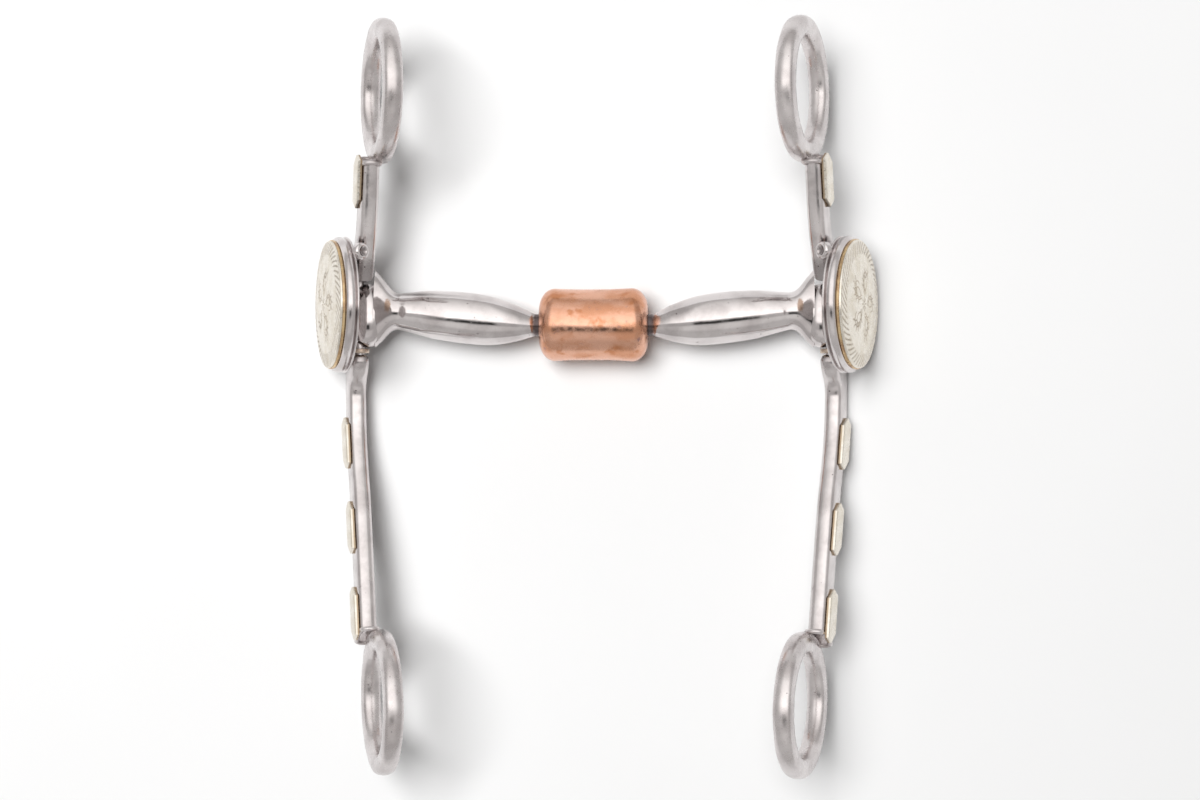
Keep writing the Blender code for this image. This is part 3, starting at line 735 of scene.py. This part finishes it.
# Strokes of the pattern: start from its middle and length, both as shares of its radius; the
# way it heads off, from straight out, and the angle it turns through; and its points.
SCROLL = (0.20, 0.95, 0.9, -4.6, 34)
TENDRIL = (0.30, 0.50, -0.5, 3.4, 20)
PETAL = (0.05, 0.11, 0.0, 0.8, 5)
SCROLLS = 5
PETALS = 8
LEAF_PLACES = range(5, 26, 4)  # points of a scroll that carry a pair of leaves
LEAF_PAIR = ((1.3, 1.7), (-0.9, -1.7))  # lean and turn of each leaf
LEAF_TURN = 0.1  # how much the leaves turn with each point of the scroll
LEAF_LENGTH = 0.17
LEAF_POINTS = 8
PATTERN = 0.74  # radius of the pattern, as a share of the face's
ROPE_CUTS = 52  # slanting cuts round the border
ROPE_MIDDLE = 0.86  # where they are spaced out, as a share of the radius
ROPE_SLANT = 1.1
ROPE_BAND = (0.88, 0.085)  # middle and half width of the border
ROPE_CUT_WIDTH = 0.21 * MM
SCROLL_CUT_WIDTH = 0.15 * MM
CUT_DEPTH = 0.15 * MM
FACE_RIM = 0.35 * MM  # thickness of the face at its rim
FACE_ROUNDING = 0.025  # width of its rounded edge, as a share of the radius
FACE_EDGE = 0.4  # height of that edge, as a share of the rim's
FACE_FLOOR = 0.05 * MM  # the lowest that a cut goes
FACE_RINGS = 90
FACE_STEPS = 312


def curled(start, heading, length, turn, count):
    """Points on a stroke whose turn tightens evenly toward its end, like an engraved leaf."""
    x, y = start
    points = []
    for k in range(count):
        points.append((x, y))
        angle = heading + turn * (k / count) ** 1.6
        x += length / count * math.cos(angle)
        y += length / count * math.sin(angle)
    return points


def stroke(radius, base, shape):
    """One of the pattern's strokes, at an angle round its middle."""
    start, length, heading, turn, count = shape
    place = (radius * start * math.cos(base), radius * start * math.sin(base))
    return curled(place, base + heading, radius * length, turn, count)


def pattern_strokes(radius):
    """Five scrolls with leaves round a small rosette."""
    strokes = []
    for k in range(SCROLLS):
        base = 2 * math.pi * k / SCROLLS
        scroll = stroke(radius, base, SCROLL)
        strokes += [scroll, stroke(radius, base, TENDRIL)]
        for place in LEAF_PLACES:
            for lean, turn in LEAF_PAIR:
                strokes.append(curled(scroll[place], base + lean - place * LEAF_TURN,
                                      radius * LEAF_LENGTH, turn, LEAF_POINTS))
    return strokes + [stroke(radius, 2 * math.pi * k / PETALS, PETAL) for k in range(PETALS)]


def distance_to(strokes, points):
    """Distance from each of the points to the nearest stroke."""
    nearest = np.full(len(points), 1.0)
    for line in map(np.array, strokes):
        for start, stop in zip(line, line[1:]):
            span = stop - start
            share = np.clip((points - start) @ span / (span @ span), 0, 1)
            gap = points - start - share[:, None] * span
            nearest = np.minimum(nearest, np.hypot(gap[:, 0], gap[:, 1]))
    return nearest


def engraved_share(radius, out, angle):
    """How far each point of the face lies in a cut, from 0 to 1."""
    flat = np.stack([(radius * out * np.cos(angle)).ravel(),
                     (radius * out * np.sin(angle)).ravel()], axis=1)
    scrolls = distance_to(pattern_strokes(radius * PATTERN), flat).reshape(out.shape)
    count = (angle + (out - ROPE_MIDDLE) * ROPE_SLANT) * ROPE_CUTS / (2 * math.pi)
    beside = np.abs(count - np.round(count)) * 2 * math.pi * radius * ROPE_MIDDLE / ROPE_CUTS
    middle, half = ROPE_BAND
    beyond = np.maximum(np.abs(out - middle) - half, 0) * radius
    rope = np.hypot(beside, beyond)
    return np.exp(-np.minimum(scrolls / SCROLL_CUT_WIDTH, rope / ROPE_CUT_WIDTH) ** 2)


def face_height(depth, out, engraved):
    """A shallow dome with a rounded rim, less the cuts."""
    over_edge = ((out - 1 + FACE_ROUNDING) / FACE_ROUNDING).clip(0, 1)
    rounded = FACE_EDGE + (1 - FACE_EDGE) * np.sqrt(1 - over_edge ** 2)
    height = FACE_RIM * rounded + (depth - FACE_RIM) * (1 - out ** 2) - CUT_DEPTH * engraved
    return np.clip(height, FACE_FLOOR, depth)


def mark_engraved(mesh, engraved, radius):
    """Store the cuts on the mesh's points, for the tarnish in them."""
    marks = mesh.attributes.new("engraved", "FLOAT", "POINT")
    placed = np.array([vertex.co[:2] for vertex in mesh.vertices])
    turn = np.arctan2(placed[:, 1], placed[:, 0]) / (2 * math.pi)
    ring_of = np.rint(np.hypot(*placed.T) / radius * (FACE_RINGS - 1)).astype(int)
    step_of = np.rint(turn * FACE_STEPS).astype(int) % FACE_STEPS
    marks.data.foreach_set("value", engraved[ring_of, step_of].astype(np.float32))


def concho_face(side_name, side, cheek):
    """The domed face, with a rope border and scrolls cut into it."""
    node = f"{side_name}_concho_face"
    matrix, size = seated(cheek @ outward(side, CONCHO_TILT), node)
    radius = size.y / 2
    out, angle = np.meshgrid(np.linspace(0.0, 1.0, FACE_RINGS),
                             np.linspace(0, 2 * math.pi, FACE_STEPS, endpoint=False),
                             indexing="ij")
    engraved = engraved_share(radius, out, angle)
    x, y = radius * out * np.cos(angle), radius * out * np.sin(angle)
    rows = [list(zip(*row)) for row in zip(x, y, face_height(size.z, out, engraved))]
    rows += [[(px, py, -SEAT) for px, py, _ in rows[-1]], [(0, 0, -SEAT)] * FACE_STEPS]
    mesh = grid_of(rows, node)
    mark_engraved(mesh, engraved, radius)
    cheek_piece(node, "engraved", mesh, "engraved silver", matrix, crease=60)


# --- Hinge hardware ---

STUD_LEAN = math.radians(35)  # the upper stud's axis, in from the cheek's plane
STUD_EDGE = 0.35  # as a share of the stud's radius
PIN_CHAMFER = 0.3  # as a share of the pin's radius
WASHER_CORNER = 0.3 * MM


def stud_section(radius, length):
    """A short stud with a rounded edge and a dished end."""
    edge = radius * STUD_EDGE
    dish = [(0, length - edge * 1.1), (radius * 0.3, length - edge * 0.95),
            (radius * 0.55, length - edge * 0.25)]
    return dish + arc((radius - edge, length - edge), edge, 90, 0, 6) + [(radius, 0), (0, 0)]


def concho_studs(side_name, side, cheek):
    """The two studs that hold the concho."""
    inward = Matrix.Rotation(-side * STUD_LEAN, 4, "Y")
    for tag, turn in (("upper", inward), ("lower", outward(side))):
        node = f"{side_name}_{tag}_concho_stud"
        matrix, size = seated(cheek @ turn, node)
        mesh = turned(node, stud_section(size.y / 2, size.z), 48)
        cheek_piece(node, "turned", mesh, "stud steel", matrix, crease=60)


def swivel_pin(side_name, cheek):
    """The pin that the cheek turns on; returns its radius."""
    node = f"{side_name}_swivel_pin"
    low, high = box_in(cheek, node)
    radius = (high.z - low.z) / 2
    chamfer = radius * PIN_CHAMFER
    profile = [(0, high.y), (radius - chamfer, high.y), (radius, high.y - chamfer),
               (radius, low.y + chamfer), (radius - chamfer, low.y), (0, low.y)]
    mesh = turned(node, profile, 36)
    cheek_piece(node, "turned", mesh, "weld steel", cheek @ ALONG_Y)
    return radius


def swivel_washer(side_name, cheek, pin_radius):
    """The washer between the knuckle and the lug."""
    node = f"{side_name}_swivel_washer"
    low, high = box_in(cheek, node)
    outer = (high.z - low.z) / 2
    bore = pin_radius + GAP
    corner = WASHER_CORNER
    profile = [(bore, high.y)] + arc((outer - corner, high.y - corner), corner, 90, 0, 3)
    profile += arc((outer - corner, low.y + corner), corner, 0, -90, 3) + [(bore, low.y)]
    mesh = turned(node, profile, 48, closed=True)
    cheek_piece(node, "turned", mesh, "bronze", cheek @ ALONG_Y)


# --- Mouthpiece arms ---

# Half height of an arm in mm, at distances from the centre joint: a slim end beside the
# roller, the bulge that lies on the bars of the mouth, the neck, and the flare at the cheek.
ARM_PROFILE = ((17.2, 3.4), (22.0, 5.25), (28.6, 6.9), (36.3, 7.3), (45.6, 6.8), (52.3, 5.7),
               (55.4, 5.3), (57.2, 6.2), (59.5, 8.8), (61.6, 11.0))
ARM_START = 17.2 * MM
ARM_SLOPE = 0.1017  # the arm climbs toward the cheek by this much
ARM_WEAR = (0.10 * MM, 6 * MM)  # depth and size of the polishing's unevenness
ARM_STEPS = 90
ARM_SIDES = 72
FLARE_START = 55.4 * MM
FLARE_DEPTH = (5.3 * MM, 4.7 * MM)  # half depth where the flare starts and at the knuckle
NECK_RADIUS = 3.1 * MM  # of the round stem inside the roller
NECK_PLACES = (4.8 * MM, 15.6 * MM, 16.7 * MM)  # of the stem's sections
EYE_RADIUS = 4.0 * MM
EYE_STEM = 8.0 * MM  # how far the eye's plate reaches into the stem
TONGUE_THICK = 2.8 * MM
FORK_THICK = 7.8 * MM
FORK_SLOT = 3.6 * MM
SLOT_ROOM = 0.5 * MM  # how far the slot runs on past the tongue's round end
KNUCKLE = (5.2 * MM, 7.6 * MM, -10.4 * MM)  # radius, top and bottom along the pin
KNUCKLE_INSET = 2.4 * MM  # from the pin's axis toward the mouthpiece
KNUCKLE_FULLNESS = 2.8  # 2 is an oval, and more is boxier
THROUGH = 2.0 * MM  # how far a hole's cutter stands out at each end


def smooth_through(points, where):
    """Height of a smooth curve through (distance, height) points."""
    last = len(points) - 1

    def slope(i):
        (x0, y0), (x1, y1) = points[max(i - 1, 0)], points[min(i + 1, last)]
        return (y1 - y0) / (x1 - x0)

    i = min(sum(where > x for x, _ in points[1:-1]), last - 1)
    (x0, y0), (x1, y1) = points[i], points[i + 1]
    span = x1 - x0
    t = (where - x0) / span
    return (y0 * (1 + 2 * t) * (1 - t) ** 2 + y1 * t * t * (3 - 2 * t)
            + span * (slope(i) * t * (1 - t) ** 2 - slope(i + 1) * t * t * (1 - t)))


def arm_rows(side):
    """Oval sections along an arm, as rows of points."""
    profile = [(x * MM, r * MM) for x, r in ARM_PROFILE]
    end = profile[-1][0]
    places = [ARM_START + (end - ARM_START) * step / ARM_STEPS for step in range(ARM_STEPS + 1)]
    angles = [2 * math.pi * k / ARM_SIDES for k in range(ARM_SIDES)]
    rows = []
    for x in (*NECK_PLACES, *places):
        height = smooth_through(profile, x) if x >= ARM_START else NECK_RADIUS
        depth = height
        share = (x - FLARE_START) / (end - FLARE_START)
        if share > 0:
            eased = share * share * (3 - 2 * share)
            depth = min(height, FLARE_DEPTH[0] + (FLARE_DEPTH[1] - FLARE_DEPTH[0]) * eased)
        rise = side * max(x - ARM_START, 0) * ARM_SLOPE
        rows.append([(x, rise + height * math.cos(a), depth * math.sin(a)) for a in angles])
    return rows


def knuckle():
    """An egg-shaped boss, fuller than an oval."""
    radius, top, bottom = KNUCKLE
    middle = (top + bottom) / 2
    half = (top - bottom) / 2
    steps = 36
    heights = [math.cos(math.pi * step / steps) for step in range(steps + 1)]
    section = [(radius * (1 - abs(t) ** KNUCKLE_FULLNESS) ** 0.5, middle + half * t)
               for t in heights]
    return turned("knuckle", section, 72)


def eye_plate(thick):
    """The round end of an arm, on the centre joint's rivet."""
    stem = NECK_RADIUS * 0.9
    outline = arc((0.0, 0.0), EYE_RADIUS, 90, 270, 24) + [(EYE_STEM, -stem), (EYE_STEM, stem)]
    return plate("eye", [(x, y, True) for x, y in outline], thick, 1)


def slot_cutter():
    """A slab that opens the fork for the other arm's tongue."""
    slab = bmesh.new()
    bmesh.ops.create_cube(slab, size=1.0)
    size = Vector((4 * EYE_RADIUS, 4 * EYE_RADIUS, FORK_SLOT))
    bmesh.ops.scale(slab, verts=slab.verts, vec=size)
    return mesh_from(slab, "slot")


def mouth_arm(side_name, side):
    """An arm, with the hinge's knuckle at the cheek and a tongue or a fork in the middle."""
    node = f"{side_name}_mouth_arm"
    joint = ANCHOR[f"{side_name}_flex"]
    pin = ANCHOR[f"{side_name}_cheek_swivel"]
    forked = side > 0
    centre = Matrix.Identity(4)
    arm_place = Matrix.Translation(joint) @ Matrix.Rotation(0 if forked else math.pi, 4, "Z")
    hinge = arm_place.inverted() @ frame_from(pin, side * AXIS[f"{side_name}_cheek_swivel"],
                                              Vector((0, 0, 1)))
    _, top, bottom = KNUCKLE
    pin_hole = cylinder("pin bore", PIN_BORE, bottom - THROUGH, top + THROUGH)
    steps = [("UNION", knuckle(), at(hinge, -side * KNUCKLE_INSET, 0, 0) @ ALONG_Y),
             ("UNION", eye_plate(FORK_THICK if forked else TONGUE_THICK), centre),
             ("DIFFERENCE", pin_hole, hinge @ ALONG_Y)]
    if forked:
        slot_place = Matrix.Translation((SLOT_ROOM - EYE_RADIUS, 0, 0))
        steps.append(("DIFFERENCE", slot_cutter(), slot_place))
    rivet_hole = cylinder("rivet bore", RIVET_BORE, -FORK_THICK, FORK_THICK)
    steps.append(("DIFFERENCE", rivet_hole, centre))
    arm = worn(grid_of(arm_rows(side), node), *ARM_WEAR, SEED + 2 * side)
    piece(f"{node}_forged", combined(arm, *steps), f"{side_name} arm steel",
          f"{side_name}_arm", arm_place, (node,), crease=32)


# --- Centre joint and roller ---

RIVET_HEAD = 1.0 * MM  # height of each domed head
RIVET_SHANK = 2 / 3  # radius as a share of the head's
ROLLER_HOLE = 4.7 * MM  # radius of the holes that the arms come out of
ROLLER_BORE = 6.4 * MM  # radius of the hollow between them
ROLLER_SHOULDER = 4.6 * MM  # length of each rounded shoulder
ROLLER_WAIST = 0.35 * MM  # how much slimmer the middle is than the shoulders
ROLLER_WALL = 1.0 * MM  # how far the hollow runs on past the shoulder's start
ROLLER_CHAMFER = 1.2 * MM
ROLLER_WEAR = (0.18 * MM, 7 * MM)  # depth and size of its dents


def joint_rivet():
    low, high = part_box("joint_rivet")
    half = (high.z - low.z) / 2
    head = (high.x - low.x) / 2
    shank = head * RIVET_SHANK
    under = half - RIVET_HEAD
    section = arc((0.0, under), (head, RIVET_HEAD), 90, 0, 8) + [(shank, under), (shank, -under)]
    section += arc((0.0, -under), (head, RIVET_HEAD), 0, -90, 8)
    piece("joint_rivet_turned", turned("joint_rivet", section, 40), "weld steel",
          "centre_joint", Matrix.Translation((low + high) / 2),
          ("joint_rivet",))


def roller_section(radius, half):
    """A hollow barrel with rounded shoulders and a slight waist."""
    barrel = half - ROLLER_SHOULDER
    shoulder = (radius - ROLLER_HOLE, ROLLER_SHOULDER)
    stops = (0.92, 0.8, 0.6, 0.4, 0.2)
    places = (*stops, 0, *(-stop for stop in reversed(stops)))
    waist = [(radius - ROLLER_WAIST * (1 - k * k), barrel * k) for k in places]
    section = arc((ROLLER_HOLE, barrel), shoulder, 90, 0, 18) + waist
    section += arc((ROLLER_HOLE, -barrel), shoulder, 0, -90, 18)
    cavity = barrel + ROLLER_WALL
    return section + [(ROLLER_HOLE, -cavity), (ROLLER_BORE, ROLLER_CHAMFER - cavity),
                      (ROLLER_BORE, cavity - ROLLER_CHAMFER), (ROLLER_HOLE, cavity)]


def roller():
    low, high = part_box("copper_roller")
    section = roller_section((high.z - low.z) / 2, (high.x - low.x) / 2)
    mesh = worn(turned("copper_roller", section, 144, closed=True), *ROLLER_WEAR, SEED)
    matrix = Matrix.Translation((low + high) / 2) @ Matrix.Rotation(math.pi / 2, 4, "Y")
    piece("copper_roller_turned", mesh, "copper", "roller", matrix,
          ("copper_roller",), crease=50)


# --- Studio ---

# Brightness of the studio tent at angles in degrees from straight up, toward the headstall
# rings and, below 0, toward the rein rings: soft walls and two strip lights.
TENT = ((-90, 0.60), (-58, 0.58), (-46, 0.78), (-30, 0.80), (-22, 0.55), (-7, 0.62), (-3, 1.9),
        (5, 1.9), (9, 0.62), (16, 0.66), (24, 1.0), (31, 1.5), (34, 2.6), (44, 2.6), (49, 0.66),
        (62, 0.66), (90, 0.58))
TENT_PEAK = 3.0  # the brightness that the ramp's white stands for
TENT_WALL = 0.60
TENT_WIDTH = (26.0, 54.0)  # degrees to each side over which the strips fade out
TENT_COLOUR = (1.0, 0.985, 0.97, 1.0)
# A dark slit in the tent, for the dark lines in polished steel.
SLIT_LEVEL = 0.05
SLIT_MIDDLE = -16.0  # degrees from straight up
SLIT_HEIGHT = (3.5, 8.0)  # degrees from its middle over which the slit fades out
SLIT_WIDTH = (13.0, 24.0)  # and to each side
BACKDROP = 1.0  # brightness of the tent as the camera sees it
FILL = 0.12  # brightness of the tent as the table and its shadows see it

KEY_POWER = 28.0
KEY_SIZE = 0.8
KEY_DIRECTION = Vector((-0.23, 0.18, 1.0)).normalized()
KEY_DISTANCE = 1.6

TABLE_REACH = 3.0
PAPER = ((0.90, 0.90, 0.90), (0.88, 0.88, 0.88))

CAMERA_PLACE = (0.026, 0.0021, 0.5724)
CAMERA_TURN = (-0.31, 2.47, 0.05)  # degrees
CAMERA_LENS = 60
CAMERA_SENSOR = 36


def tent_strips(n, forward):
    """Brightness along the tent, by the angle from straight up."""
    share = n.math("MULTIPLY_ADD", forward, 1 / math.pi, 0.5)
    ramp = n.add("ShaderNodeValToRGB", {0: share})
    stops = ramp.color_ramp.elements
    for index, (degrees, _) in enumerate(TENT):
        stop = stops[index] if index < 2 else stops.new(0.5)
        stop.position = degrees / 180 + 0.5
    for stop, (_, level) in zip(sorted(stops, key=lambda s: s.position), TENT):
        grey = level / TENT_PEAK
        stop.color = (grey, grey, grey, 1.0)
    return n.math("MULTIPLY", ramp.outputs["Color"], TENT_PEAK)


def fading(n, angle, reach):
    """1 up to the nearer angle of the reach, on both sides, and 0 from the farther one on."""
    near, far = (math.radians(degrees) for degrees in reach)
    return n.between(n.math("ABSOLUTE", angle), near, far, 1.0, 0.0)


def studio_tent():
    """A world that polished metal reflects as a tent, with plain light for the table."""
    world = bpy.data.worlds.new("studio_tent")
    bpy.context.scene.world = world
    n = Nodes(world)
    x, y, z = n.axes(n.direction)
    forward = n.math("ARCTAN2", y, z)
    sideways = n.math("ARCTAN2", x, z)
    level = n.instead(fading(n, sideways, TENT_WIDTH), TENT_WALL, tent_strips(n, forward))
    from_slit = n.math("SUBTRACT", forward, math.radians(SLIT_MIDDLE))
    slit = n.math("MULTIPLY", fading(n, from_slit, SLIT_HEIGHT), fading(n, sideways, SLIT_WIDTH))
    level = n.instead(slit, level, SLIT_LEVEL)
    path = n.add("ShaderNodeLightPath").outputs
    level = n.instead(path["Is Diffuse Ray"], level, FILL)
    level = n.instead(path["Is Camera Ray"], level, BACKDROP)
    background = n.tree.nodes["Background"].inputs
    n.feed(level, background["Strength"])
    n.feed(TENT_COLOUR, background["Color"])


def key_light():
    """A soft key from the upper left, for the shadows on the table."""
    light = bpy.data.lights.new("key", "AREA")
    light.energy = KEY_POWER
    light.size = KEY_SIZE
    obj = bpy.data.objects.new("key", light)
    bpy.context.scene.collection.objects.link(obj)
    obj.location = KEY_DIRECTION * KEY_DISTANCE
    obj.rotation_euler = KEY_DIRECTION.to_track_quat("Z", "Y").to_euler()
    obj.visible_glossy = False


def table_top():
    """Plain white paper under the bit."""
    low, _ = CAD_BOX
    reach = TABLE_REACH
    corners = [(-reach, -reach, low.z), (reach, -reach, low.z), (reach, reach, low.z),
               (-reach, reach, low.z)]
    mesh = bpy.data.meshes.new("table_top")
    mesh.from_pydata(corners, [], [(0, 1, 2, 3)])
    obj = bpy.data.objects.new("table_top", mesh)
    bpy.context.scene.collection.objects.link(obj)
    n = Nodes(bpy.data.materials.new("white_paper"))
    colour = n.mix(n.noise(60 * MM, 2), *PAPER)
    mesh.materials.append(n.finish(colour, 0.9, n.bump(n.noise(0.8 * MM, 2), 0.01 * MM), 0.0))


def camera():
    """Straight above the bit, a little to the right, with the headstall rings at the top."""
    data = bpy.data.cameras.new("camera")
    data.lens = CAMERA_LENS
    data.sensor_width = CAMERA_SENSOR
    obj = bpy.data.objects.new("camera", data)
    bpy.context.scene.collection.objects.link(obj)
    obj.location = CAMERA_PLACE
    obj.rotation_euler = [math.radians(angle) for angle in CAMERA_TURN]
    bpy.context.scene.camera = obj


# --- The bit ---

def cheek_and_arm(side_name, side):
    """Everything on one side: the cheek with all that it carries, and its arm."""
    cheek = cheek_matrix(side_name, side)
    rings = [ring(side_name, side, cheek, tag) for tag, _ in RING_WELDS]
    cheek_bar(side_name, side, cheek, rings)
    for number, ((tag, toward), (centre, outer)) in enumerate(zip(RING_WELDS, rings)):
        ring_weld(side_name, tag, cheek, centre, outer, toward, SEED + number)
    for tag in OVERLAYS:
        overlay(side_name, side, cheek, f"{side_name}_{tag}")
    concho_part(side_name, side, cheek, "cup", cup_section, "cup steel")
    concho_part(side_name, side, cheek, "edge", edge_section, "brass")
    concho_face(side_name, side, cheek)
    concho_studs(side_name, side, cheek)
    pin_radius = swivel_pin(side_name, cheek)
    swivel_washer(side_name, cheek, pin_radius)
    mouth_arm(side_name, side)


for side_label, sign in SIDES:
    cheek_and_arm(side_label, sign)
joint_rivet()
roller()

studio_tent()
key_light()
table_top()
camera()
bpy.context.scene.view_settings.view_transform = "Standard"
